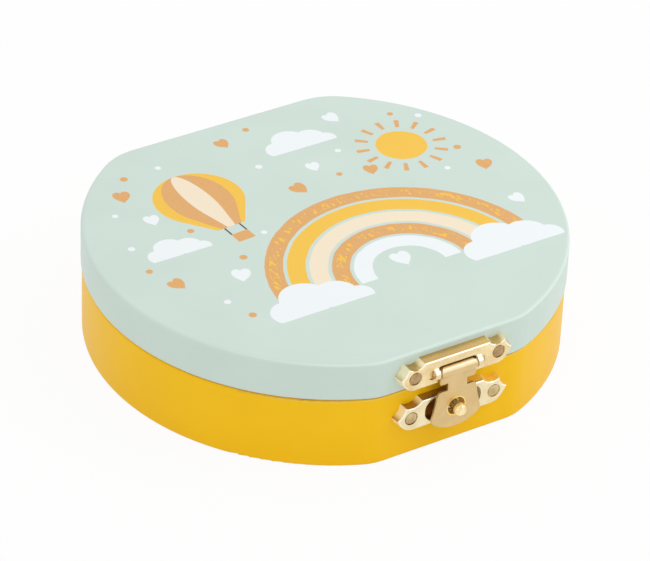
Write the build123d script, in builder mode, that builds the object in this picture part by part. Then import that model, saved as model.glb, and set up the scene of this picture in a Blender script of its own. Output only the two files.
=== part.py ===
from build123d import *
from math import acos, cos, degrees, pi, sin, sqrt
import os

# Round wooden keepsake box for milk teeth. A lid is hinged to a base behind, and a pressed
# brass hasp closes it in front. Millimetres, +Z up. The origin is on the underside, at the
# centre of the round outline. The hasp is on the -Y side, the hinges are on the +Y side.

# Outline from above: a circle cut straight in front and behind, with rounded corners
plan_radius = 60.0
front_cut = 3.4  # depth cut off the circle in front
back_cut = 8.0  # and behind
front_corner = 13.6
back_corner = 17.0
lid_overhang = 0.3  # the base is this much smaller than the lid, except behind

# Wooden body
base_height = 19.3
seam = 0.3  # slit between base and lid
lid_height = 10.4
wall = 6.0
lid_recess = 6.0
floor_thickness = 3.0
floor_ledge = 3.0  # width of the step in the rim that the floor panel is glued into
floor_gap = 0.1
lid_round = 1.0
foot_round = 0.9
edge_round = 0.6

# Tray with one pocket for each of the twenty milk teeth
tray_thickness = 11.0
tray_gap = 0.3
teeth_per_arch = 10
pocket_wall = 2.6  # wood left between one pocket and the next where they stand closest
pocket_margin = 4.4  # wood between a pocket and the tray's edge
pocket_lip = 0.4  # small bevel round each pocket
arch_gap_share = 1.5  # gap between the two arches, as a share of the step between pockets

# Hasp, pressed from brass sheet
clasp_sheet = 0.5
clasp_half_width = 15.4
skirt_spread = 0.35  # the pressed skirts lean out by this much
plate_edge_round = 0.45
upper_plate_height = 6.7
upper_plate_rise = 1.6  # from the top of the base up to the plate
upper_pan_depth = 2.9
lower_plate_height = 7.5
lower_plate_drop = 3.0  # from the top of the base down to the plate
lower_pan_depth = 2.4
upper_end_shares = [
    (0.59, 1.0), (0.66, 0.87), (0.875, 0.97), (0.91, 0.74), (1.0, 0.56),
    (0.965, 0.36), (0.91, 0.17), (0.83, 0.04), (0.72, 0.0),
]
lower_end_shares = [
    (0.56, 1.0), (0.68, 0.84), (0.86, 0.9), (0.89, 0.68), (1.0, 0.5),
    (0.945, 0.29), (0.88, 0.13), (0.8, 0.03), (0.7, 0.0),
]

# Nails of the hasp, sunk in pressed seats
clasp_nail_head_radius = 1.5
clasp_nail_head_thickness = 0.5
clasp_nail_shank_radius = 0.6
clasp_nail_length = 6.8
clasp_nail_x = 11.7
upper_nail_rise = 5.0
lower_nail_drop = 7.0
nail_seat_gap = 0.3
nail_seat_depth = 0.6
pilot_gap = 0.05

# Wire pin of the hasp and the straps that hold it
clasp_pin_radius = 0.95
clasp_pin_rise = 4.35  # from the top of the base up to the pin
clasp_pin_sink = 0.1  # from the upper plate's face back to the pin's middle
running_gap = 0.05
window_half_width = 5.4
window_gap = 0.45
window_round = 1.0
strap_width = 1.2
strap_bend_radius = 0.8
slit_height = 2.6
slit_end_gap = 0.1
dimple_width = 1.3  # pressed beside each strap
dimple_depth = 0.4
dimple_corner = 1.0

# Tongue of the hasp: a rolled knuckle above a bell-shaped plate
tongue_gap = 0.1  # between the upper plate and the tongue
knuckle_half_width = 5.0
tongue_bend_radius = 1.5
curl_degrees = 280  # round from the front of the knuckle
tongue_step_drop = 3.3
tongue_neck_half_width = 2.7
tongue_shoulder_drop = 5.4
tongue_shoulder_half_width = 5.2
bell_drop = 13.6
bell_half_width = 7.0
tongue_drop = 16.5
bell_bulge_share = 0.68  # how far out and down the bell's bottom edge is fullest
bell_bulge_drop_share = 0.6
knuckle_round = 1.1
step_round = 0.5
shoulder_round = 0.9
bell_round = 1.4
tongue_hole_radius = 2.4
stud_drop = 6.4  # from the top of the base down to the stud

# Dish in the lower plate and the ball stud riveted in it
dish_half_width = 7.9
dish_half_height = 3.0
dish_corner = 2.6
dish_depth = 1.2
dish_drop = 6.5
stud_collar_radius = 2.0
stud_collar_thickness = 0.8
stud_collar_round = 0.4
stud_neck_radius = 1.3
stud_ball_radius = 1.65
stud_reach = 5.3  # from the base's front to the middle of the ball
stud_rivet_radius = 1.9
stud_rivet_thickness = 0.4

# Butt hinges on the back
hinge_sheet = 0.6
hinge_length = 18.0
hinge_spacing = 27.0
hinge_leaf_reach = 7.6  # from the pin's middle to the leaf's edge
hinge_pin_radius = 0.6
hinge_curl_degrees = 285
hinge_joint_gap = 0.15
hinge_clear = 0.3
hinge_corner = 1.0
hinge_nail_x = 5.4
hinge_nail_reach = 4.6
hinge_nail_head_radius = 1.2
hinge_nail_head_thickness = 0.4
hinge_nail_shank_radius = 0.5
hinge_nail_length = 5.0

# Heights and depths that follow
front_reach = plan_radius - front_cut
back_reach = plan_radius - back_cut
lid_base = base_height + seam
axis_height = base_height + seam / 2
base_front = front_reach - lid_overhang
cavity_inset = lid_overhang + wall
tray_base = floor_thickness
upper_face = front_reach + upper_pan_depth
lower_face = base_front + lower_pan_depth
clasp_pin_depth = upper_face - clasp_pin_sink
clasp_pin_height = base_height + clasp_pin_rise
knuckle_inner = clasp_pin_radius + running_gap
knuckle_outer = knuckle_inner + clasp_sheet
barrel_inner = hinge_pin_radius + running_gap
barrel_radius = barrel_inner + hinge_sheet
barrel_depth = back_reach + barrel_radius


def facing_front(x, depth, z):
    """Plane that looks to the front, depth ahead of the middle of the box."""
    return Plane(origin=(x, -depth, z), x_dir=(1, 0, 0), z_dir=(0, -1, 0))


def facing_back(x, depth, z):
    """Plane that looks to the back, depth behind the middle of the box."""
    return Plane(origin=(x, depth, z), x_dir=(-1, 0, 0), z_dir=(0, 1, 0))


def side_on(x, depth, z):
    """Plane seen from the right, with its own x to the back and its own y up."""
    return Plane(origin=(x, -depth, z), x_dir=(0, 1, 0), z_dir=(1, 0, 0))


def plan_outline(inset, back_inset):
    """Outline of the box from above, drawn in by one amount all round and another behind."""
    with BuildSketch() as outline:
        Circle(plan_radius - inset)
        with Locations((0, inset - front_reach)):
            Rectangle(
                2 * plan_radius,
                front_reach - inset + back_reach - back_inset,
                align=(Align.CENTER, Align.MIN),
                mode=Mode.INTERSECT,
            )
        fillet(outline.vertices().group_by(Axis.Y)[0], front_corner - inset)
        fillet(outline.vertices().group_by(Axis.Y)[-1], back_corner - inset)
    return outline.sketch


def outer_edges(face):
    """Edges round the outside of a face."""
    return face.outer_wire().edges()


def plate_outline(half_width, height, end_shares):
    """Face of a hasp plate: straight above and below, with scalloped ends of arcs.

    The shares run round the right-hand end, through each arc's middle to its far end.
    """
    points = [(x * half_width, (z - 1 / 2) * height) for x, z in end_shares]
    with BuildSketch() as outline:
        with BuildLine():
            Line((0, points[0][1]), points[0])
            for start in range(0, len(points) - 1, 2):
                ThreePointArc(*points[start : start + 3])
            Line(points[-1], (0, points[-1][1]))
            mirror(about=Plane.YZ)
        make_face()
    return outline.sketch


def pressed_pan(depth, middle, pan_depth, half_width, height, end_shares):
    """Pan with a flat face and leaning skirts, open at the back, as a finished part."""
    grow = skirt_spread - clasp_sheet
    with BuildPart() as pan:
        with BuildSketch(facing_front(0, depth, middle)):
            add(plate_outline(half_width + skirt_spread, height + 2 * skirt_spread, end_shares))
        with BuildSketch(facing_front(0, depth + pan_depth, middle)):
            add(plate_outline(half_width, height, end_shares))
        loft(ruled=True)
        fillet(outer_edges(pan.faces().sort_by(Axis.Y)[0]), plate_edge_round)
        with BuildSketch(facing_front(0, depth, middle)):
            add(plate_outline(half_width + grow, height + 2 * grow, end_shares))
        with BuildSketch(facing_front(0, depth + pan_depth - clasp_sheet, middle)):
            add(plate_outline(half_width - clasp_sheet, height - 2 * clasp_sheet, end_shares))
        loft(ruled=True, mode=Mode.SUBTRACT)
    return pan.part


def nail(head_radius, head_thickness, shank_radius, length):
    """Flat-headed nail that points down, with the top of its head at height zero."""
    with BuildPart() as piece:
        with BuildSketch(Plane.XZ):
            with BuildLine():
                Polyline(
                    (0, 0),
                    (head_radius, 0),
                    (head_radius, -head_thickness),
                    (shank_radius, -head_thickness),
                    (shank_radius, 2 * shank_radius - length),
                    (0, -length),
                    close=True,
                )
            make_face()
        revolve(axis=Axis.Z)
    return piece.part


# Places of the nails
upper_nail_planes = [
    facing_front(side * clasp_nail_x, upper_face - nail_seat_depth + clasp_nail_head_thickness,
                 base_height + upper_nail_rise)
    for side in (-1, 1)
]
lower_nail_planes = [
    facing_front(side * clasp_nail_x, lower_face - nail_seat_depth + clasp_nail_head_thickness,
                 base_height - lower_nail_drop)
    for side in (-1, 1)
]


def hinge_nail_planes(hinge_x, side):
    """Places of the two nails of a hinge leaf, above the pin for side 1 and below for -1."""
    depth = back_reach + hinge_sheet + hinge_nail_head_thickness
    return [
        facing_back(hinge_x + end * hinge_nail_x, depth, axis_height + side * hinge_nail_reach)
        for end in (-1, 1)
    ]


hinge_places = {"left": -hinge_spacing / 2, "right": hinge_spacing / 2}

# Rim of the base
with BuildPart() as base_rim:
    with BuildSketch():
        add(plan_outline(lid_overhang, 0))
    extrude(amount=base_height)
    fillet(outer_edges(base_rim.faces().sort_by(Axis.Z)[0]), foot_round)
    fillet(outer_edges(base_rim.faces().sort_by(Axis.Z)[-1]), edge_round)
    with BuildSketch():
        add(plan_outline(cavity_inset, wall))
    extrude(amount=base_height, mode=Mode.SUBTRACT)
    with BuildSketch():
        add(plan_outline(cavity_inset - floor_ledge, wall - floor_ledge))
    extrude(amount=floor_thickness, mode=Mode.SUBTRACT)
    with Locations(*lower_nail_planes):
        Hole(clasp_nail_shank_radius + pilot_gap, clasp_nail_length + pilot_gap)
    for place in hinge_places.values():
        with Locations(*hinge_nail_planes(place, -1)):
            Hole(hinge_nail_shank_radius + pilot_gap, hinge_nail_length + pilot_gap)
base_rim.part.label = "base_rim"

# Floor panel, let into the rim from below
with BuildPart() as base_floor:
    with BuildSketch():
        add(plan_outline(cavity_inset - floor_ledge + floor_gap, wall - floor_ledge + floor_gap))
    extrude(amount=floor_thickness)
base_floor.part.label = "base_floor"

# Tray: the pockets stand in two facing arches on one oval
tray_front = front_reach - cavity_inset - tray_gap
tray_back = back_reach - wall - tray_gap
tray_half_depth = (tray_front + tray_back) / 2
pocket_step = pi / (teeth_per_arch - 1 + arch_gap_share)  # round the oval, in radians
# The pockets stand closest at the oval's ends, where a step is as long as its share of oval_y
pocket_radius = (pocket_step * (tray_half_depth - pocket_margin) - pocket_wall) / (2 + pocket_step)
pocket_edge = pocket_margin + pocket_radius
oval_x = plan_radius - cavity_inset - tray_gap - pocket_edge
oval_y = tray_half_depth - pocket_edge
oval_middle = (tray_back - tray_front) / 2
pocket_places = []
for arch in (1, -1):
    for tooth in range(teeth_per_arch):
        turn = arch * pocket_step * (tooth + arch_gap_share / 2)
        pocket_places.append((oval_x * cos(turn), oval_middle + oval_y * sin(turn)))

with BuildPart() as tooth_tray:
    with BuildSketch(Plane.XY.offset(tray_base)):
        add(plan_outline(cavity_inset + tray_gap, wall + tray_gap))
        with Locations(*pocket_places):
            Circle(pocket_radius, mode=Mode.SUBTRACT)
    extrude(amount=tray_thickness)
    chamfer(tooth_tray.faces().sort_by(Axis.Z)[-1].inner_wires().edges(), pocket_lip)
tooth_tray.part.label = "tooth_tray"

# Lid, cut from one board and hollowed from below
with BuildPart() as lid_shell:
    with BuildSketch(Plane.XY.offset(lid_base)):
        add(plan_outline(0, 0))
    extrude(amount=lid_height)
    fillet(outer_edges(lid_shell.faces().sort_by(Axis.Z)[0]), edge_round)
    fillet(outer_edges(lid_shell.faces().sort_by(Axis.Z)[-1]), lid_round)
    with BuildSketch(Plane.XY.offset(lid_base)):
        add(plan_outline(cavity_inset, wall))
    extrude(amount=lid_recess, mode=Mode.SUBTRACT)
    with Locations(*upper_nail_planes):
        Hole(clasp_nail_shank_radius + pilot_gap, clasp_nail_length + pilot_gap)
    for place in hinge_places.values():
        with Locations(*hinge_nail_planes(place, 1)):
            Hole(hinge_nail_shank_radius + pilot_gap, hinge_nail_length + pilot_gap)
lid_shell.part.label = "lid_shell"

# Upper plate of the hasp
upper_middle = base_height + upper_plate_rise + upper_plate_height / 2
upper_pan = pressed_pan(
    front_reach, upper_middle, upper_pan_depth, clasp_half_width, upper_plate_height,
    upper_end_shares,
)
window_bottom = base_height
window_top = clasp_pin_height + knuckle_outer + window_gap
seat_radius = clasp_nail_head_radius + nail_seat_gap
strap_middle = window_half_width + strap_width / 2
strap_end = window_half_width + strap_width
dimple_end = strap_end + dimple_width

with BuildPart() as clasp_upper_plate:
    add(upper_pan)
    # Seats for the nails
    with BuildSketch(facing_front(0, upper_face, base_height + upper_nail_rise)):
        with Locations((-clasp_nail_x, 0), (clasp_nail_x, 0)):
            Circle(seat_radius + clasp_sheet)
    extrude(amount=-nail_seat_depth - clasp_sheet)
    with BuildSketch(facing_front(0, upper_face, base_height + upper_nail_rise)):
        with Locations((-clasp_nail_x, 0), (clasp_nail_x, 0)):
            Circle(seat_radius)
    extrude(amount=-nail_seat_depth, mode=Mode.SUBTRACT)
    with Locations(*upper_nail_planes):
        Hole(clasp_nail_shank_radius + pilot_gap, clasp_nail_length)
    # Dimples beside the straps
    with BuildSketch(facing_front(0, upper_face, clasp_pin_height)):
        RectangleRounded(
            2 * (dimple_end + clasp_sheet), slit_height + 2 * clasp_sheet,
            dimple_corner + clasp_sheet,
        )
    extrude(amount=-dimple_depth - clasp_sheet)
    with BuildSketch(facing_front(0, upper_face, clasp_pin_height)):
        RectangleRounded(2 * dimple_end, slit_height, dimple_corner)
    extrude(amount=-dimple_depth, mode=Mode.SUBTRACT)
    # Window for the knuckle, open below
    with BuildSketch(facing_front(0, upper_face, window_bottom)) as window:
        Rectangle(2 * window_half_width, window_top - window_bottom, align=(Align.CENTER, Align.MIN))
        fillet(window.vertices().group_by(Axis.Y)[-1], window_round)
    extrude(amount=-upper_pan_depth, mode=Mode.SUBTRACT)
    # Slits that the straps stand over
    with BuildSketch(facing_front(0, upper_face, clasp_pin_height)):
        Rectangle(2 * (strap_end + slit_end_gap), slit_height)
    extrude(amount=-dimple_depth - clasp_sheet, mode=Mode.SUBTRACT)
    # Straps over the ends of the pin, bent out of the plate
    for side in (-1, 1):
        with BuildSketch(Plane.YZ.offset(side * strap_middle)) as strap:
            with Locations((-upper_face, clasp_pin_height)):
                Rectangle(
                    clasp_sheet, 2 * (knuckle_outer + strap_bend_radius),
                    align=(Align.MIN, Align.CENTER),
                )
            with Locations((-clasp_pin_depth, clasp_pin_height)):
                Circle(knuckle_outer)
            bends = strap.vertices().group_by(Axis.X)[0].sort_by(Axis.Y)[1:-1]
            fillet(bends, strap_bend_radius)
            with Locations((-clasp_pin_depth, clasp_pin_height)):
                Circle(knuckle_inner, mode=Mode.SUBTRACT)
            with Locations((-upper_face + clasp_sheet, clasp_pin_height)):
                Rectangle(
                    upper_pan_depth, 2 * knuckle_outer,
                    align=(Align.MIN, Align.CENTER), mode=Mode.SUBTRACT,
                )
        extrude(amount=strap_width / 2, both=True)
clasp_upper_plate.part.label = "clasp_upper_plate"

# Pin of the hasp
with BuildPart() as clasp_pin:
    with BuildSketch(Plane.YZ):
        with Locations((-clasp_pin_depth, clasp_pin_height)):
            Circle(clasp_pin_radius)
    extrude(amount=strap_end, both=True)
clasp_pin.part.label = "clasp_pin"

# Tongue: its rolled side profile, cut to the outline that it has from the front
roll_radius = knuckle_inner + clasp_sheet / 2
sheet_ahead = clasp_pin_sink + tongue_gap + clasp_sheet / 2  # of the pin's middle
bend_turn = acos((sheet_ahead + tongue_bend_radius) / (roll_radius + tongue_bend_radius))
bend_drop = (roll_radius + tongue_bend_radius) * sin(bend_turn)
stud_height = base_height - stud_drop

with BuildPart() as clasp_tongue:
    with BuildSketch(side_on(0, clasp_pin_depth, clasp_pin_height)):
        with BuildLine():
            CenterArc((0, 0), roll_radius, 180 - curl_degrees, curl_degrees + degrees(bend_turn))
            CenterArc(
                (-sheet_ahead - tongue_bend_radius, -bend_drop), tongue_bend_radius,
                0, degrees(bend_turn),
            )
            Line((-sheet_ahead, -bend_drop), (-sheet_ahead, -tongue_drop))
        trace(line_width=clasp_sheet)
    extrude(amount=bell_half_width, both=True)
    with BuildSketch(facing_front(0, clasp_pin_depth - knuckle_outer, clasp_pin_height)) as bell:
        with BuildLine():
            Polyline(
                (0, knuckle_outer),
                (knuckle_half_width, knuckle_outer),
                (knuckle_half_width, -tongue_step_drop),
                (tongue_neck_half_width, -tongue_step_drop),
                (tongue_neck_half_width, -tongue_shoulder_drop),
                (tongue_shoulder_half_width, -tongue_shoulder_drop),
                (bell_half_width, -bell_drop),
            )
            ThreePointArc(
                (bell_half_width, -bell_drop),
                (
                    bell_bulge_share * bell_half_width,
                    -bell_drop - bell_bulge_drop_share * (tongue_drop - bell_drop),
                ),
                (0, -tongue_drop),
            )
            mirror(about=Plane.YZ)
        make_face()
        # The outer corners stand in rows above the lowest point, and are rounded from the top down
        corner_rounds = [bell_round, shoulder_round, step_round, knuckle_round]
        for row in range(len(corner_rounds), 0, -1):
            corners = bell.vertices().group_by(Axis.Y)[row].sort_by(Axis.X)
            fillet([corners[0], corners[-1]], corner_rounds[row - 1])
    extrude(amount=2 * knuckle_outer, mode=Mode.INTERSECT)
    with Locations(facing_front(0, clasp_pin_depth + knuckle_outer, stud_height)):
        Hole(tongue_hole_radius, 2 * knuckle_outer)
clasp_tongue.part.label = "clasp_tongue"

# Lower plate of the hasp, with a dish for the stud
lower_middle = base_height - lower_plate_drop - lower_plate_height / 2
dish_middle = base_height - dish_drop
lower_pan = pressed_pan(
    base_front, lower_middle, lower_pan_depth, clasp_half_width, lower_plate_height,
    lower_end_shares,
)
dish_floor = lower_face - dish_depth

with BuildPart() as clasp_lower_plate:
    add(lower_pan)
    with BuildSketch(facing_front(0, lower_face, base_height - lower_nail_drop)):
        with Locations((-clasp_nail_x, 0), (clasp_nail_x, 0)):
            Circle(seat_radius + clasp_sheet)
    extrude(amount=-nail_seat_depth - clasp_sheet)
    with BuildSketch(facing_front(0, lower_face - clasp_sheet, dish_middle)):
        RectangleRounded(
            2 * (dish_half_width + clasp_sheet), 2 * (dish_half_height + clasp_sheet),
            dish_corner + clasp_sheet,
        )
    extrude(amount=-dish_depth)
    with BuildSketch(facing_front(0, lower_face, base_height - lower_nail_drop)):
        with Locations((-clasp_nail_x, 0), (clasp_nail_x, 0)):
            Circle(seat_radius)
    extrude(amount=-nail_seat_depth, mode=Mode.SUBTRACT)
    with BuildSketch(facing_front(0, lower_face, dish_middle)):
        RectangleRounded(2 * dish_half_width, 2 * dish_half_height, dish_corner)
    extrude(amount=-dish_depth, mode=Mode.SUBTRACT)
    with Locations(*lower_nail_planes):
        Hole(clasp_nail_shank_radius + pilot_gap, clasp_nail_length)
    with Locations(facing_front(0, dish_floor, stud_height)):
        Hole(stud_neck_radius, lower_pan_depth)
clasp_lower_plate.part.label = "clasp_lower_plate"

# Ball stud, turned from one bar and riveted behind the dish
ball_height = stud_reach - lower_pan_depth + dish_depth  # from the dish's floor
rivet_back = clasp_sheet + stud_rivet_thickness
ball_foot = ball_height - sqrt(stud_ball_radius**2 - stud_neck_radius**2)
stud_foot = (0, -dish_floor, stud_height)
with BuildPart() as clasp_stud:
    with BuildSketch(Plane(origin=stud_foot, x_dir=(1, 0, 0), z_dir=(0, 0, -1))) as profile:
        with BuildLine():
            Polyline(
                (0, ball_height + stud_ball_radius),
                (0, -rivet_back),
                (stud_rivet_radius, -rivet_back),
                (stud_rivet_radius, -clasp_sheet),
                (stud_neck_radius, -clasp_sheet),
                (stud_neck_radius, 0),
                (stud_collar_radius, 0),
                (stud_collar_radius, stud_collar_thickness),
                (stud_neck_radius, 2 * stud_collar_thickness),
                (stud_neck_radius, ball_foot),
            )
            ThreePointArc(
                (stud_neck_radius, ball_foot),
                (stud_ball_radius, ball_height),
                (0, ball_height + stud_ball_radius),
            )
        make_face()
        collar_edge = profile.vertices().group_by(Axis.X)[-1].sort_by(Axis.Y)[-1]
        fillet(collar_edge, stud_collar_round)
    revolve(axis=Axis(stud_foot, (0, -1, 0)))
clasp_stud.part.label = "clasp_stud"

# Nails of the hasp
clasp_nail = nail(
    clasp_nail_head_radius, clasp_nail_head_thickness, clasp_nail_shank_radius, clasp_nail_length
)
with BuildPart() as clasp_upper_nails:
    with Locations(*upper_nail_planes):
        add(clasp_nail)
clasp_upper_nails.part.label = "clasp_upper_nails"
with BuildPart() as clasp_lower_nails:
    with Locations(*lower_nail_planes):
        add(clasp_nail)
clasp_lower_nails.part.label = "clasp_lower_nails"

# Butt hinges: each leaf is rolled round the pin, the lid's in the middle and the base's beside it
hinge_roll = barrel_inner + hinge_sheet / 2
hinge_third = hinge_length / 3
hinge_nail = nail(
    hinge_nail_head_radius, hinge_nail_head_thickness, hinge_nail_shank_radius, hinge_nail_length
)
finished = [
    base_rim, base_floor, tooth_tray, lid_shell, clasp_upper_plate, clasp_pin, clasp_tongue,
    clasp_lower_plate, clasp_stud, clasp_upper_nails, clasp_lower_nails,
]


def hinge_leaf(hinge_x, side):
    """Leaf above the pin for side 1, or below it for -1, rolled round the pin at its edge."""
    with BuildPart() as leaf:
        with BuildSketch(side_on(hinge_x, -barrel_depth, axis_height)):
            with BuildLine():
                Line((-hinge_roll, side * hinge_leaf_reach), (-hinge_roll, 0))
                CenterArc((0, 0), hinge_roll, 180, side * hinge_curl_degrees)
            trace(line_width=hinge_sheet)
        extrude(amount=hinge_length / 2, both=True)
        # Rounded corners at the leaf's free edge
        with BuildSketch(facing_back(hinge_x, back_reach, axis_height)) as blank:
            Rectangle(hinge_length, 2 * hinge_leaf_reach)
            fillet(blank.vertices(), hinge_corner)
        extrude(amount=2 * barrel_radius, mode=Mode.INTERSECT)
        # Room for the other leaf's knuckles
        room = barrel_radius + hinge_clear
        with BuildSketch(facing_back(hinge_x, back_reach, axis_height)):
            if side > 0:
                with Locations((-hinge_third, 0), (hinge_third, 0)):
                    Rectangle(hinge_third + 2 * hinge_joint_gap, 2 * room)
            else:
                Rectangle(hinge_third, 2 * room)
        extrude(amount=2 * barrel_radius, mode=Mode.SUBTRACT)
        with Locations(*hinge_nail_planes(hinge_x, side)):
            Hole(hinge_nail_shank_radius + pilot_gap, hinge_nail_length)
    return leaf


for name, place in hinge_places.items():
    for body, side in (("base", -1), ("lid", 1)):
        leaf = hinge_leaf(place, side)
        leaf.part.label = f"hinge_{name}_{body}_leaf"
        with BuildPart() as nails:
            with Locations(*hinge_nail_planes(place, side)):
                add(hinge_nail)
        nails.part.label = f"hinge_{name}_{body}_nails"
        finished += [leaf, nails]
    with BuildPart() as pin:
        with BuildSketch(side_on(place, -barrel_depth, axis_height)):
            Circle(hinge_pin_radius)
        extrude(amount=hinge_length / 2, both=True)
    pin.part.label = f"hinge_{name}_pin"
    finished.append(pin)

os.makedirs("parts", exist_ok=True)
for piece in finished:
    export_step(piece.part, f"parts/{piece.part.label}.step")
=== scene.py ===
from math import cos, pi, radians, sin

import bpy
from mathutils import Matrix, Vector


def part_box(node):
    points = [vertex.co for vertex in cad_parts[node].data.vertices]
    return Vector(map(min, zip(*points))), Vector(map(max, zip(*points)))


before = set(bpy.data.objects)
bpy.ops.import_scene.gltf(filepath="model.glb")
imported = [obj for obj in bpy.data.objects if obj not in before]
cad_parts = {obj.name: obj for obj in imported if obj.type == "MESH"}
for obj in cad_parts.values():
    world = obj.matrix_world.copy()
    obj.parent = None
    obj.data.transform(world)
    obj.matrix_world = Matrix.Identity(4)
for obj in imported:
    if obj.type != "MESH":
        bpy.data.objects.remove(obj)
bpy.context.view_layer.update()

# Looks of a round wooden keepsake box with a brass hasp. Blender's unit is the metre. Sizes of
# the print and the finishes are written in millimetres and turned into metres by MM.
MM = 0.001

# Camera, fitted to the outline of the box in the photograph. Angles are in degrees, distances in
# millimetres. The two offsets say where the box's origin lies from the middle of the view.
IMAGE_WIDTH = 650
SENSOR_WIDTH = 36.0
FOCAL_PIXELS = 3816.6
AZIMUTH = -33.083
ELEVATION = 34.314
ROLL = 2.485
OFFSET_RIGHT = -0.92
OFFSET_UP = -10.484
DISTANCE = 953.0


def srgb(red, green, blue):
    """Linear colour, with alpha, for a colour given as a screen shows it, 0 to 255."""
    def linear(value):
        value /= 255
        return value / 12.92 if value <= 0.04045 else ((value + 0.055) / 1.055) ** 2.4
    return (linear(red), linear(green), linear(blue), 1.0)


# Lacquers: each with its haze and with a painted highlight along its rounded edges
MINT = srgb(205, 222, 213)
MINT_HAZE = srgb(208, 225, 216)
MINT_HIGHLIGHT = srgb(217, 234, 225)
YELLOW = srgb(250, 197, 8)
YELLOW_HAZE = srgb(247, 193, 2)
YELLOW_HIGHLIGHT = srgb(252, 207, 80)

# Board
BOARD = srgb(226, 196, 152)
BOARD_GRAIN = srgb(200, 163, 116)
BOARD_FIBRE = srgb(176, 136, 92)

# Inks of the print
INK_TAN = srgb(229, 176, 113)
INK_TAN_GRAIN = srgb(216, 158, 98)
INK_YELLOW = srgb(247, 199, 73)
INK_CREAM = srgb(245, 230, 203)
INK_WHITE = srgb(240, 245, 247)
INK_BROWN = srgb(92, 66, 54)

# Brass, where it differs from a sheet's own colour: painted highlights, reflections and shade, and a
# worn ring
# painted highlight along the folds
FOLD_HIGHLIGHT = srgb(255, 250, 230)
# ring round the stud, worn and painted bright as a highlight
WORN_HIGHLIGHT_GOLD = srgb(255, 222, 128)
# painted reflection of light surroundings on the plates' left and right ends
END_REFLECTION = srgb(255, 243, 204)
# painted shade in the recess round the stud, where the tongue's shadow falls
RECESS_SHADE = srgb(150, 114, 52)
UPPER_TOP_SHADING = (srgb(200, 166, 102), srgb(208, 176, 110))  # painted shade and reflection on the upper sides, left and right, also in the next two
LOWER_TOP_SHADING = (srgb(178, 142, 74), srgb(255, 226, 140))
TONGUE_TOP_SHADING = (srgb(206, 166, 100), srgb(206, 166, 100))

# Sockets of a Mix node that mixes colours: it has others of the same names for other data
MIX_INPUTS = (0, 6, 7)
MIX_RESULT = 2


class Field:
    """A number that varies over a surface, so that node arithmetic reads as ordinary sums."""

    def __init__(self, tree, socket):
        self.tree = tree
        self.socket = socket

    def math(self, operation, *others):
        node = self.tree.nodes.new("ShaderNodeMath")
        node.operation = operation
        for slot, value in zip(node.inputs, (self, *others)):
            connect(self.tree, value, slot)
        return Field(self.tree, node.outputs[0])

    def __add__(self, other):
        return self.math("ADD", other)

    def __sub__(self, other):
        return self.math("SUBTRACT", other)

    def __mul__(self, other):
        return self.math("MULTIPLY", other)

    def __truediv__(self, other):
        return self.math("DIVIDE", other)

    def __abs__(self):
        return self.math("ABSOLUTE")

    def root(self):
        return self.math("SQRT")

    def below(self, other):
        return self.math("LESS_THAN", other)

    def above(self, other):
        return self.math("GREATER_THAN", other)

    def least(self, other):
        return self.math("MINIMUM", other)

    def most(self, other):
        return self.math("MAXIMUM", other)


def connect(tree, value, slot):
    """Feeds a socket from a field, from another socket or with a plain value."""
    if isinstance(value, Field):
        value = value.socket
    if isinstance(value, bpy.types.NodeSocket):
        tree.links.new(value, slot)
    else:
        slot.default_value = value


class Finish:
    """A material under construction, with short calls for the nodes that it needs."""

    def __init__(self, name):
        self.material = bpy.data.materials.new(name)
        self.material.use_nodes = True
        self.tree = self.material.node_tree
        self.tree.nodes.clear()
        coordinates = self.node("ShaderNodeTexCoord").outputs
        self.place, self.facing = coordinates["Object"], coordinates["Normal"]
        self.shader = self.node("ShaderNodeBsdfPrincipled")
        self.output = self.node("ShaderNodeOutputMaterial", {"Surface": self.shader.outputs[0]})

    def node(self, kind, inputs=(), **settings):
        """New node with its settings, and its inputs fed by name or number."""
        made = self.tree.nodes.new(kind)
        for name, value in settings.items():
            setattr(made, name, value)
        for slot, value in dict(inputs).items():
            connect(self.tree, value, made.inputs[slot])
        return made

    def set(self, **values):
        """Feeds the shader's sockets, with _ for each space in their names."""
        for name, value in values.items():
            connect(self.tree, value, self.shader.inputs[name.replace("_", " ")])

    def axes(self, place=None):
        """The three coordinates of a place, as fields: to the right, back and up."""
        parts = self.node("ShaderNodeSeparateXYZ", {0: place or self.place})
        return [Field(self.tree, socket) for socket in parts.outputs]

    def stretched(self, x, y, z):
        """Object coordinates scaled along each axis, for marks that run one way."""
        return self.node("ShaderNodeMapping", {"Vector": self.place, "Scale": (x, y, z)}).outputs[0]

    def noise(self, size, detail=2.0, roughness=0.5, place=None):
        """Noise whose lumps are about size millimetres across."""
        made = self.node("ShaderNodeTexNoise", {
            "Vector": place or self.place, "Scale": 1 / (size * MM),
            "Detail": detail, "Roughness": roughness,
        })
        return Field(self.tree, made.outputs[0])

    def cells(self, size):
        """Distance to the nearest of scattered points, which lie about size millimetres apart. It
        counts in steps of that size."""
        made = self.node("ShaderNodeTexVoronoi", {"Vector": self.place, "Scale": 1 / (size * MM)})
        return Field(self.tree, made.outputs["Distance"])

    def spread(self, field, low, high, to_low=0.0, to_high=1.0):
        """The field's range from low to high, stretched to another range and held at its ends."""
        made = self.node("ShaderNodeMapRange", enumerate((field, low, high, to_low, to_high)))
        return Field(self.tree, made.outputs[0])

    def fade(self, field, low, high):
        """1 up to low, falling to 0 at high."""
        return self.spread(field, low, high, 1.0, 0.0)

    def mix(self, factor, first, second):
        """Colour that goes from first to second with the factor."""
        made = self.node("ShaderNodeMix", zip(MIX_INPUTS, (factor, first, second)), data_type="RGBA")
        return made.outputs[MIX_RESULT]

    def bump(self, height, depth, normal=None):
        """Relief of the given depth in millimetres, over an earlier relief if there is one."""
        inputs = {"Height": height, "Distance": depth * MM, "Strength": 1.0}
        if normal:
            inputs["Normal"] = normal
        return self.node("ShaderNodeBump", inputs).outputs[0]


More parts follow.
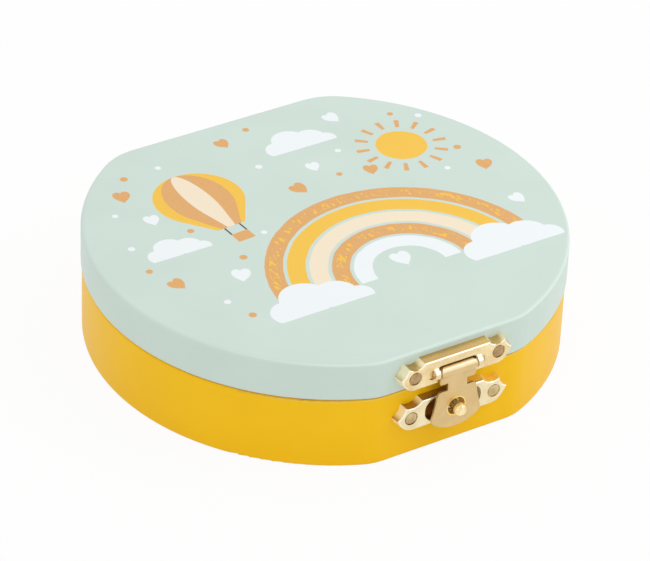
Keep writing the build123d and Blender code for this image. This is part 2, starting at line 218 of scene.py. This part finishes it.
# Print on the lid: flat shapes as distances in millimetres from their edge, negative inside.
# Places are in millimetres to the right of the box's middle and behind it.
INK_EDGE = 0.07  # half the width over which an ink's edge fades
WOBBLE = 0.5  # how far the hand-cut edges wander
WOBBLE_SIZE = 4.0  # length of one such bend
CLOUD_WOBBLE = 0.5  # a cloud's share of it

INK_GRAIN_SIZE = 0.22
INK_GRAIN_ROUGHNESS = 0.7
INK_GRAIN = (0.45, 0.75)  # part of the noise's range over which the grain comes in
YELLOW_GRAIN = 0.3  # yellow ink's share of the grain
STROKE_SIZE = 0.9  # dry strokes in the middle of the tan bands
STROKE_ROUGHNESS = 0.6
STROKE_SCALE = (1, 0.35, 1)
STROKE_FLECKS = (0.56, 0.60)

RAINBOW = (8.0, -27.0)
RAINBOW_BANDS = ["tan", "yellow", "cream", "tan", "white"]
RAINBOW_RADIUS = 33.5  # middle of the outermost band
BAND_STEP = 5.4
BAND_WIDTH = 4.5

# Discs of a cloud: across, up and radius. The cloud is cut flat at its foot.
CLOUD_DISCS = [(-8.5, 0.5, 4.6), (-2.0, 3.6, 6.6), (5.6, 1.8, 5.6), (10.6, -0.8, 3.6)]
CLOUD_FOOT = -2.4
# Clouds: across, back and size
CLOUDS = [(-19.5, -29.5, 1.0), (35.5, -29.5, 1.0), (-38.0, 6.0, 0.62), (13.0, 33.5, 0.72)]

BALLOON = (-22.0, 24.0)
BALLOON_TILT = 4.0
BALLOON_RADIUS = 11.5
BALLOON_WAIST = -0.57  # height at which the round top turns into the straight taper, in radii
BALLOON_MOUTH = -1.25
BALLOON_TAPER = 0.70  # how fast the taper narrows downwards
THINNEST = 0.01  # least square of its half width, which the stripes divide by
GORES = [(0.71, "tan"), (0.27, "cream")]  # stripes: share of the half width, and their ink
BASKET_WIDTH = 4.8
BASKET_HEIGHT = 3.6
BASKET_DROP = 3.2  # from the balloon's mouth down to the basket
ROPE_WIDTH = 0.45

SUN = (35.5, 21.0)
SUN_RADIUS = 6.6
SUN_RAYS = 14
RAY_MIDDLE = 10.2  # from the sun's middle
RAY_LENGTH = 3.4
RAY_WIDTH = 1.15

HEART_LIFT = 0.72  # how far a heart's lobes rise over its middle, in half widths
# Hearts: across, back, half width and tilt in degrees
TAN_HEARTS = [
    (-45.0, -6.5, 2.1, 18), (-38.5, 33.0, 2.2, -14), (2.5, 15.5, 2.2, 20), (22.5, 14.5, 1.9, -18),
    (49.0, 3.0, 2.1, -22), (-4.0, 42.5, 1.9, 10),
]
WHITE_HEARTS = [
    (-37.0, 20.5, 2.0, -8), (-30.0, -10.5, 2.4, -20), (27.0, 40.0, 2.1, 16), (10.5, 22.5, 1.8, -6),
    (48.0, -14.0, 2.0, 14), (8.0, -23.0, 2.6, 0),
]
# Dots: across, back and radius
WHITE_DOTS = [
    (-47.5, 12.5, 0.9), (-24.0, 41.0, 0.8), (-1.5, 29.5, 0.9), (20.0, 26.5, 0.8), (47.0, 31.0, 0.9),
    (-38.5, -18.0, 0.9), (-15.5, 3.5, 0.8), (-44.0, 27.0, 0.8), (40.0, 6.5, 0.8),
]
TAN_DOTS = [
    (-34.0, 40.5, 1.0), (-48.5, 2.0, 0.9), (-31.0, 12.5, 0.9), (4.5, 46.0, 0.9), (47.5, 13.5, 1.0),
    (-25.5, -3.5, 1.0), (41.0, 35.0, 0.8), (-36.0, -25.5, 1.0), (14.5, 17.0, 0.8),
]


class Print:
    """The lid's picture, drawn in the lid's plan."""

    def __init__(self, finish):
        self.finish = finish
        scaled = finish.node("ShaderNodeVectorMath", {0: finish.place, 1: (1 / MM, 1 / MM, 0)},
                             operation="MULTIPLY")
        self.plan = scaled.outputs[0]
        self.back = finish.axes(self.plan)[1]
        self.wander = (finish.noise(WOBBLE_SIZE) - 0.5) * WOBBLE
        self.inked = None

    def reach(self, x, y):
        """Distance from a point."""
        made = self.finish.node("ShaderNodeVectorMath", {0: self.plan, 1: (x, y, 0)},
                                operation="DISTANCE")
        return Field(self.finish.tree, made.outputs["Value"])

    def seen_from(self, x, y, tilt=0.0):
        """Coordinates across and up from a point, tilted by some degrees."""
        turned = self.finish.node("ShaderNodeMapping", {
            "Vector": self.plan, "Location": (x, y, 0), "Rotation": (0, 0, radians(tilt)),
        }, vector_type="TEXTURE")
        return self.finish.axes(turned.outputs[0])[:2]

    def joined(self, shapes):
        """Union of shapes."""
        whole = shapes[0]
        for shape in shapes[1:]:
            whole = whole.least(shape)
        return whole

    def between(self, field, low, high):
        """Stretch between two values of a field."""
        return abs(field - (low + high) / 2) - (high - low) / 2

    def bar(self, across, up, width, low, high):
        """Upright bar between two heights."""
        return (abs(across) - width / 2).most(self.between(up, low, high))

    def heart(self, x, y, size, tilt):
        across, up = self.seen_from(x, y, tilt)
        across, up = abs(across) / size, up / size
        up = up - across.root() * HEART_LIFT
        return ((across * across + up * up).root() - 1.0) * size

    def cloud(self, x, y, size):
        discs = [self.reach(x + dx * size, y + dy * size) - r * size for dx, dy, r in CLOUD_DISCS]
        return self.joined(discs).most((self.back - (y + CLOUD_FOOT * size)) * -1.0)

    def rays(self):
        """Rays of the sun, as short bars round it."""
        across, up = self.seen_from(*SUN)
        turns = up.math("ARCTAN2", across) * (SUN_RAYS / (2 * pi))
        aside = abs(turns.math("FRACT") - 0.5) * (2 * pi * RAY_MIDDLE / SUN_RAYS)
        half = RAY_LENGTH / 2
        length = self.between(self.reach(*SUN), RAY_MIDDLE - half, RAY_MIDDLE + half)
        return (aside - RAY_WIDTH / 2).most(length)

    def balloon(self):
        """Shapes of a balloon's envelope, stripes, ropes and basket."""
        across, up = self.seen_from(*BALLOON, tilt=BALLOON_TILT)
        radius = BALLOON_RADIUS
        waist, mouth = BALLOON_WAIST * radius, BALLOON_MOUTH * radius
        round_half = ((up * up) * -1.0 + radius**2).most(THINNEST).root()
        taper_half = (up - waist) * BALLOON_TAPER + (radius**2 - waist**2) ** 0.5
        half = round_half + (taper_half - round_half) * up.below(waist)
        skirt = (abs(across) - taper_half).most(self.between(up, mouth, waist))
        envelope = skirt.least(self.reach(*BALLOON) - radius)
        gores = [
            (((abs(across) / half - share) * radius).most(envelope), ink) for share, ink in GORES
        ]
        top = mouth - BASKET_DROP
        basket = self.bar(across, up, BASKET_WIDTH, top - BASKET_HEIGHT, top)
        aside = abs(across) - (BASKET_WIDTH - ROPE_WIDTH) / 2
        ropes = self.bar(aside, up, ROPE_WIDTH, top, mouth)
        return envelope, gores, ropes, basket

    def coat(self, colour, shape, ink, share=1.0):
        """The colour with a shape printed over it, by a share that may vary."""
        cover = self.finish.fade(shape, -INK_EDGE, INK_EDGE) * share
        self.inked = cover.most(self.inked) if self.inked else cover
        return self.finish.mix(cover, colour, ink)

    def draw(self, colour):
        """The whole picture over the lid's own colour."""
        finish = self.finish
        grain = finish.noise(INK_GRAIN_SIZE, roughness=INK_GRAIN_ROUGHNESS)
        grain = finish.spread(grain, *INK_GRAIN)
        strokes = finish.noise(STROKE_SIZE, roughness=STROKE_ROUGHNESS,
                               place=finish.stretched(*STROKE_SCALE))
        inks = {
            "tan": finish.mix(grain, INK_TAN, INK_TAN_GRAIN),
            "yellow": finish.mix(grain * YELLOW_GRAIN, INK_YELLOW, INK_TAN),
            "cream": INK_CREAM,
            "white": INK_WHITE,
        }
        # Sun and rainbow
        colour = self.coat(colour, self.reach(*SUN) - SUN_RADIUS + self.wander, inks["yellow"])
        colour = self.coat(colour, self.rays(), inks["tan"])
        span = self.reach(*RAINBOW) + self.wander
        below_ground = (self.back - RAINBOW[1]) * -1.0
        for place, name in enumerate(RAINBOW_BANDS):
            band = abs(span - (RAINBOW_RADIUS - place * BAND_STEP)) - BAND_WIDTH / 2
            colour = self.coat(colour, band.most(below_ground), inks[name])
            if name == "tan":
                core = (band + BAND_WIDTH / 4).most(below_ground)
                flecks = finish.spread(strokes, *STROKE_FLECKS)
                colour = self.coat(colour, core, inks["yellow"], flecks)
        # Balloon
        envelope, gores, ropes, basket = self.balloon()
        colour = self.coat(colour, ropes, INK_BROWN)
        colour = self.coat(colour, basket, inks["tan"])
        colour = self.coat(colour, envelope, inks["yellow"])
        for gore, name in gores:
            colour = self.coat(colour, gore, inks[name])
        # Clouds, hearts and dots
        for cloud in CLOUDS:
            shape = self.cloud(*cloud) + self.wander * CLOUD_WOBBLE
            colour = self.coat(colour, shape, inks["white"])
        for hearts, name in ((TAN_HEARTS, "tan"), (WHITE_HEARTS, "white")):
            shapes = self.joined([self.heart(*heart) for heart in hearts])
            colour = self.coat(colour, shapes, inks[name])
        for dots, name in ((TAN_DOTS, "tan"), (WHITE_DOTS, "white")):
            shapes = self.joined([self.reach(x, y) - radius for x, y, radius in dots])
            colour = self.coat(colour, shapes, inks[name])
        return colour


# Wood. Sizes are those of a noise's lumps, and reliefs are depths. In a range of facing, 1 is
# straight up or to the right and -1 straight down or to the left.
NOISE_RANGE = (0.3, 0.7)  # nearly all values of a noise

HAZE_SIZE = 18.0
WAVE_SIZE = 2.2
WAVE_DETAIL = 1.0
WAVE_RELIEF = 0.008
ROLLER_SIZE = 0.55
ROLLER_RELIEF = 0.002
LACQUER_SPECULAR = 0.2
LACQUER_ROUGHNESS = (0.36, 0.44)
HIGHLIGHT_FOOT = (0.2, 0.5)  # facing up, over which the painted highlight on a rounded edge comes in
HIGHLIGHT_TOP = (0.7, 0.95)  # facing up, over which it goes out
HIGHLIGHT_LEFT = (-0.65, -0.4)  # facing to the side, over which it comes in

GRAIN_SIZE = 1.0
GRAIN_DETAIL = 5.0
GRAIN_ROUGHNESS = 0.65
GRAIN_SCALE = (0.06, 1, 1)
GRAIN_RELIEF = 0.02
FIBRE_SIZE = 0.25
FIBRES = (0.55, 0.8)  # part of the noise's range over which a fibre comes in
FIBRE_SHARE = 0.35
BOARD_ROUGHNESS = (0.62, 0.78)

HOLLOW_MARGIN = 1.5  # from the tray to a place within the walls round it
JOINT_SKIN = 0.01  # how deep the faces that meet at the seam are bare
WALL_GAP = 0.05  # from such a face to where the hollow's walls are bare
PRINT_SKIN = 0.1  # how far under the lid's top the picture reaches
LID_BOARD = 2.0  # from the lid's top down to where its hollow may begin
BARE_ROUGHNESS = 0.3  # what bare board adds to the lacquer's roughness
INK_ROUGHNESS = 0.08  # what ink adds


def lacquer(finish, colour, haze_colour, highlight_colour):
    """Colour and roughness of a satin lacquer with faint haze, a roller's texture and a painted
    highlight along the rounded upper edge, which fades towards the left."""
    haze = finish.spread(finish.noise(HAZE_SIZE), *NOISE_RANGE)
    roller = finish.noise(ROLLER_SIZE)
    waves = finish.bump(finish.noise(WAVE_SIZE, WAVE_DETAIL), WAVE_RELIEF)
    finish.set(
        Normal=finish.bump(roller, ROLLER_RELIEF, waves),
        Specular_IOR_Level=LACQUER_SPECULAR,
    )
    sideward, _, upward = finish.axes(finish.facing)
    # painted highlight on the rounded upper edge, fading towards the left
    edge_highlight = finish.spread(upward, *HIGHLIGHT_FOOT) * finish.fade(upward, *HIGHLIGHT_TOP)
    edge_highlight = edge_highlight * finish.spread(sideward, *HIGHLIGHT_LEFT)
    tone = finish.mix(edge_highlight, finish.mix(haze, colour, haze_colour), highlight_colour)
    return tone, finish.spread(roller, *NOISE_RANGE, *LACQUER_ROUGHNESS)


def bare_wood(finish):
    """Colour and grain of bare fine board."""
    grain = finish.noise(GRAIN_SIZE, GRAIN_DETAIL, GRAIN_ROUGHNESS, finish.stretched(*GRAIN_SCALE))
    fibres = finish.spread(finish.noise(FIBRE_SIZE), *FIBRES, 0.0, FIBRE_SHARE)
    tone = finish.mix(finish.spread(grain, *NOISE_RANGE), BOARD, BOARD_GRAIN)
    return finish.mix(fibres, tone, BOARD_FIBRE), grain


def inside(finish, low, high):
    """1 on the walls of the hollow that the tray lies in, between two heights."""
    tray_low, tray_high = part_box("tooth_tray")
    margin = HOLLOW_MARGIN * MM
    across, back, up = finish.axes()
    flat = finish.node("ShaderNodeCombineXYZ", {0: across, 1: back})
    length = finish.node("ShaderNodeVectorMath", {0: flat.outputs[0]}, operation="LENGTH")
    return (
        Field(finish.tree, length.outputs["Value"]).below(tray_high[0] + margin)
        * back.above(tray_low[1] - margin) * back.below(tray_high[1] + margin)
        * up.above(low) * up.below(high)
    )


def board_material():
    """Bare fine board all over."""
    finish = Finish("bare_board")
    colour, grain = bare_wood(finish)
    finish.set(
        Base_Color=colour,
        Roughness=finish.spread(grain, *NOISE_RANGE, *BOARD_ROUGHNESS),
        Normal=finish.bump(grain, GRAIN_RELIEF),
    )
    return finish.material


def rim_material():
    """Yellow lacquer outside, bare board inside and on the rim's top."""
    finish = Finish("yellow_lacquer")
    colour, roughness = lacquer(finish, YELLOW, YELLOW_HAZE, YELLOW_HIGHLIGHT)
    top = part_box("base_rim")[1][2]
    bare = inside(finish, 0.0, top - WALL_GAP * MM)
    bare = bare.most(finish.axes()[2].above(top - JOINT_SKIN * MM))
    finish.set(
        Base_Color=finish.mix(bare, colour, bare_wood(finish)[0]),
        Roughness=roughness + bare * BARE_ROUGHNESS,
    )
    return finish.material


def lid_material():
    """Mint lacquer outside with a picture on top, bare board inside and on the rim's foot."""
    finish = Finish("mint_lacquer")
    foot, top = (corner[2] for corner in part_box("lid_shell"))
    colour, roughness = lacquer(finish, MINT, MINT_HAZE, MINT_HIGHLIGHT)
    picture = Print(finish)
    printed = picture.draw(colour)
    on_top = finish.axes()[2].above(top - PRINT_SKIN * MM)
    bare = inside(finish, foot + WALL_GAP * MM, top - LID_BOARD * MM)
    bare = bare.most(finish.axes()[2].below(foot + JOINT_SKIN * MM))
    finish.set(
        Base_Color=finish.mix(bare, finish.mix(on_top, colour, printed), bare_wood(finish)[0]),
        Roughness=roughness + bare * BARE_ROUGHNESS + picture.inked * on_top * INK_ROUGHNESS,
    )
    return finish.material


# Brass. In a range of facing, -1 is straight to the front, and 1 straight up or to the side.
METAL = 0.8  # how metallic the lacquered brass looks
END_METAL = 0.25
TARNISH_SIZE = 3.5
TARNISH_DETAIL = 3.0
TARNISH_ROUGHNESS = 0.6
TARNISH = (0.35, 0.75)  # part of the noise's range over which tarnish comes in
SCRATCH_SIZE = 0.12
SCRATCH_DETAIL = 3.0
SCRATCH_ROUGHNESS = 0.6
SCRATCH_SCALE = (0.25, 1, 1)
SCRATCH_WEAR = 0.5  # their share in the wear
SCRATCH_RELIEF = 0.004
PIT_STEP = 0.7  # from pit to pit
PITS = (0.06, 0.14)  # distance in such steps, over which a pit fades out
PIT_SHARE = 0.5
DENT_SIZE = 2.4
DENT_DETAIL = 1.0
WEAR = (0.2, 2.4)  # range of the wear
WEAR_SMOOTHER = 0.05  # how much less than its own roughness brass has without wear
WEAR_ROUGHER = 0.25  # and how much more with all of it

UPPER_SIDE = (0.5, 0.9)  # facing up, over which an upper side's painted shade and reflection come in
TO_RIGHT = (0.0, 6.0)  # place across, over which the painted shade and reflection on its left turn into those on its right
END_SIDE = (0.35, 0.75)  # facing to either side, over which an end's painted reflection and less metallic look come in
FOLD_FRONT = (-0.95, -0.85)  # facing front, over which the painted highlight on a fold comes in
FOLD_SIDE = (-0.5, -0.3)  # and goes out again

RECESS_BACK = (-58.6, -57.6)  # place along the box's depth, over which the painted shade in the recess comes in
RECESS_BRIGHT = 1.0  # half width of the stretch round the stud that gets no painted shade
RECESS_FULL = 4.6  # distance from the stud at which the painted shade is darkest
RECESS_RIGHT = 0.3  # how dark the painted shade on its right end is against its left
RECESS_FRONT = (-0.7, -0.3)  # facing front, over which the painted shade goes out
WORN_RADIUS = 2.8  # ring round the stud that the ball's rubbing has worn, painted bright as a highlight
WORN_FADE = 0.2


def worn_highlight_ring(finish):
    """1 round the stud's axis, where the tongue is worn and painted a bright gold as a highlight."""
    low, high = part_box("clasp_stud")
    across, _, up = finish.axes()
    aside, above = across - (low[0] + high[0]) / 2, up - (low[2] + high[2]) / 2
    distance = (aside * aside + above * above).root()
    return finish.fade(distance, (WORN_RADIUS - WORN_FADE) * MM, WORN_RADIUS * MM)


def shade_in_recess(finish, backward):
    """How much painted shade lies on the bottom of a recess on both sides of the stud."""
    across, back, _ = finish.axes()
    depth = finish.spread(back, *(place * MM for place in RECESS_BACK))
    bright, full = RECESS_BRIGHT * MM, RECESS_FULL * MM
    left = finish.fade(across, -full, -bright)
    right = finish.spread(across, bright, full, 0.0, RECESS_RIGHT)
    return depth * left.most(right) * finish.fade(backward, *RECESS_FRONT)


def brass_material(name, colour, tarnish_colour, roughness, dents, fold_highlight=0.0, top=None,
                   end_reflection=None, recess_shade=None, worn_highlight=None):
    """Sheet brass under thin lacquer, with soft dents, fine scratches, pits and a little tarnish.
    Dents are as deep as given, and the next is the share of a painted highlight on the folds.
    The others are colours: the painted shade and reflection of the upper sides, left and right,
    the painted reflection on the left and right ends, which also look less metallic, the painted
    shade in a recess and the ring round the stud, worn and painted bright as a highlight."""
    finish = Finish(name)
    tarnish = finish.noise(TARNISH_SIZE, TARNISH_DETAIL, TARNISH_ROUGHNESS)
    tarnish = finish.spread(tarnish, *TARNISH)
    pits = finish.spread(finish.cells(PIT_STEP), *PITS, PIT_SHARE, 0.0)
    scratches = finish.noise(SCRATCH_SIZE, SCRATCH_DETAIL, SCRATCH_ROUGHNESS,
                             finish.stretched(*SCRATCH_SCALE))
    relief = finish.bump(finish.noise(DENT_SIZE, DENT_DETAIL), dents)
    wear = tarnish + scratches * SCRATCH_WEAR
    tone = finish.mix(tarnish, colour, tarnish_colour)
    metal = METAL
    sideward, backward, upward = finish.axes(finish.facing)
    # painted shade and reflection on the upper sides
    if top:
        to_right = finish.spread(finish.axes()[0], *(place * MM for place in TO_RIGHT))
        tone = finish.mix(finish.spread(upward, *UPPER_SIDE), tone, finish.mix(to_right, *top))
    # painted reflection on the left and right ends, which are also made less metallic
    if end_reflection:
        at_end = finish.spread(abs(sideward), *END_SIDE)
        tone = finish.mix(at_end, tone, end_reflection)
        metal = at_end * (END_METAL - METAL) + METAL
    # painted highlight along the folds, where they turn away from the front
    fold = finish.spread(backward, *FOLD_FRONT) * finish.fade(backward, *FOLD_SIDE)
    tone = finish.mix(fold * fold_highlight, tone, FOLD_HIGHLIGHT)
    # painted shade in the recess
    if recess_shade:
        shade = shade_in_recess(finish, backward)
        tone = finish.mix(shade, tone, recess_shade)
        wear = wear + shade
    # worn ring round the stud, painted bright as a highlight
    if worn_highlight:
        ring = worn_highlight_ring(finish)
        tone = finish.mix(ring, tone, worn_highlight)
        wear = wear * (ring * -1.0 + 1.0)
    finish.set(
        Base_Color=finish.mix(pits, tone, tarnish_colour),
        Metallic=metal,
        Roughness=finish.spread(wear, *WEAR, roughness - WEAR_SMOOTHER, roughness + WEAR_ROUGHER),
        Normal=finish.bump(scratches, SCRATCH_RELIEF, relief),
    )
    return finish.material


plate_brass = brass_material(
    "plate_brass", srgb(244, 218, 160), srgb(226, 194, 134), roughness=0.22, dents=0.05,
)
upper_brass = brass_material(
    "upper_brass", srgb(250, 228, 178), srgb(230, 200, 144), roughness=0.2, dents=0.06,
    fold_highlight=1.0, top=UPPER_TOP_SHADING, end_reflection=END_REFLECTION,
)
pale_brass = brass_material(
    "pale_brass", srgb(246, 232, 192), srgb(232, 212, 164), roughness=0.2, dents=0.05,
    fold_highlight=1.0, top=LOWER_TOP_SHADING, end_reflection=END_REFLECTION, recess_shade=RECESS_SHADE,
)
tongue_brass = brass_material(
    "tongue_brass", srgb(226, 196, 140), srgb(216, 184, 128), roughness=0.34, dents=0.005,
    fold_highlight=0.4, top=TONGUE_TOP_SHADING, worn_highlight=WORN_HIGHLIGHT_GOLD,
)
stud_brass = brass_material(
    "stud_brass", srgb(255, 236, 180), srgb(222, 184, 110), roughness=0.1, dents=0.01,
)
nail_brass = brass_material(
    "nail_brass", srgb(196, 164, 118), srgb(150, 120, 80), roughness=0.26, dents=0.08,
)
# copy of the nail brass painted lighter for the lower nails, as their highlight
bright_nails = brass_material(
    "bright_nails", srgb(224, 202, 150), srgb(176, 146, 96), roughness=0.2, dents=0.1,
)
board = board_material()
finishes = {
    "lid_shell": lid_material(),
    "base_rim": rim_material(),
    "base_floor": board,
    "tooth_tray": board,
    "clasp_upper_plate": upper_brass,
    "clasp_lower_plate": pale_brass,
    "clasp_tongue": tongue_brass,
    "clasp_stud": stud_brass,
    "clasp_lower_nails": bright_nails,
}
for name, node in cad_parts.items():
    plain = nail_brass if name.endswith("_nails") else plate_brass
    node.data.materials.clear()
    node.data.materials.append(finishes.get(name, plain))

# Studio: a pale floor and white surroundings, which the camera and reflections see as white.
# Sizes and places are in metres.
FLOOR_SIZE = 6.0
FLOOR_COLOUR = (0.88, 0.88, 0.88, 1.0)
FLOOR_ROUGHNESS = 0.9
FLOOR_WHITE = 0.93  # share of plain white in the floor as it is seen; the rest keeps the shadow
WHITE = (1, 1, 1, 1)
SKY_LIGHT = 0.875  # what the surroundings give as light
# Softboxes that point at the box: place, size and power
SOFTBOXES = {
    "high": ((0.406, -0.315, 0.476), 0.2, 0.48),
    "front": ((0.353, -0.664, 0.274), 0.1, 0.06),
    "right": ((0.72, -0.16, 0.24), 0.25, 0.16),
    "left": ((-0.68, -0.36, 0.22), 0.15, 0.15),
    "top": ((0.30, 0.05, 0.45), 0.2, 0.18),
}


def seen_ray(tree):
    """1 for rays from the camera, off glossy surfaces and through clear ones."""
    rays = tree.nodes.new("ShaderNodeLightPath").outputs
    camera, glossy, clear = (
        Field(tree, rays[f"Is {kind} Ray"]) for kind in ("Camera", "Glossy", "Transmission")
    )
    return camera.most(glossy).most(clear)


def floor_material():
    """Matt and pale, and seen as nearly plain white apart from the shadow on it."""
    finish = Finish("floor")
    finish.set(Base_Color=FLOOR_COLOUR, Roughness=FLOOR_ROUGHNESS, Specular_IOR_Level=0.0)
    white = finish.node("ShaderNodeEmission", {"Color": WHITE, "Strength": 1.0})
    blend = finish.node("ShaderNodeMixShader", {
        0: seen_ray(finish.tree) * FLOOR_WHITE, 1: finish.shader.outputs[0], 2: white.outputs[0],
    })
    connect(finish.tree, blend.outputs[0], finish.output.inputs["Surface"])
    return finish.material


def add_floor():
    """Square floor that the box stands on, which is no piece of the box."""
    half = FLOOR_SIZE / 2
    corners = [(-half, -half, 0), (half, -half, 0), (half, half, 0), (-half, half, 0)]
    mesh = bpy.data.meshes.new("floor")
    mesh.from_pydata(corners, [], [(0, 1, 2, 3)])
    mesh.materials.append(floor_material())
    floor = bpy.data.objects.new("floor", mesh)
    scene.collection.objects.link(floor)


def light_world():
    """White surroundings that give a little less light than they show."""
    world = bpy.data.worlds.new("studio")
    world.use_nodes = True
    scene.world = world
    backdrop = world.node_tree.nodes["Background"]
    backdrop.inputs["Color"].default_value = WHITE
    strength = seen_ray(world.node_tree) * (1 - SKY_LIGHT) + SKY_LIGHT
    connect(world.node_tree, strength, backdrop.inputs["Strength"])


def add_softbox(name, place, size, power):
    """Square area light that points at the box."""
    light = bpy.data.lights.new(name, "AREA")
    light.size = size
    light.energy = power
    lamp = bpy.data.objects.new(name, light)
    lamp.location = place
    lamp.rotation_euler = (-Vector(place)).to_track_quat("-Z", "Y").to_euler()
    scene.collection.objects.link(lamp)


def add_camera():
    """Camera at the photograph's viewing angle, with its slight roll."""
    turn, lift, tip = radians(AZIMUTH), radians(ELEVATION), radians(ROLL)
    back = Vector((sin(turn) * cos(lift), -cos(turn) * cos(lift), sin(lift)))
    level = Vector((0, 0, 1)).cross(back).normalized()
    upright = back.cross(level)
    right = level * cos(tip) + upright * sin(tip)
    up = upright * cos(tip) - level * sin(tip)
    data = bpy.data.cameras.new("camera")
    data.sensor_fit = "HORIZONTAL"
    data.sensor_width = SENSOR_WIDTH
    data.lens = FOCAL_PIXELS * SENSOR_WIDTH / IMAGE_WIDTH
    camera = bpy.data.objects.new("camera", data)
    place = (back * DISTANCE - right * OFFSET_RIGHT - up * OFFSET_UP) * MM
    camera.matrix_world = Matrix.Translation(place) @ Matrix((right, up, back)).transposed().to_4x4()
    scene.collection.objects.link(camera)
    scene.camera = camera


scene = bpy.context.scene
scene.view_settings.view_transform = "Standard"
add_floor()
light_world()
for name, softbox in SOFTBOXES.items():
    add_softbox(name, *softbox)
add_camera()
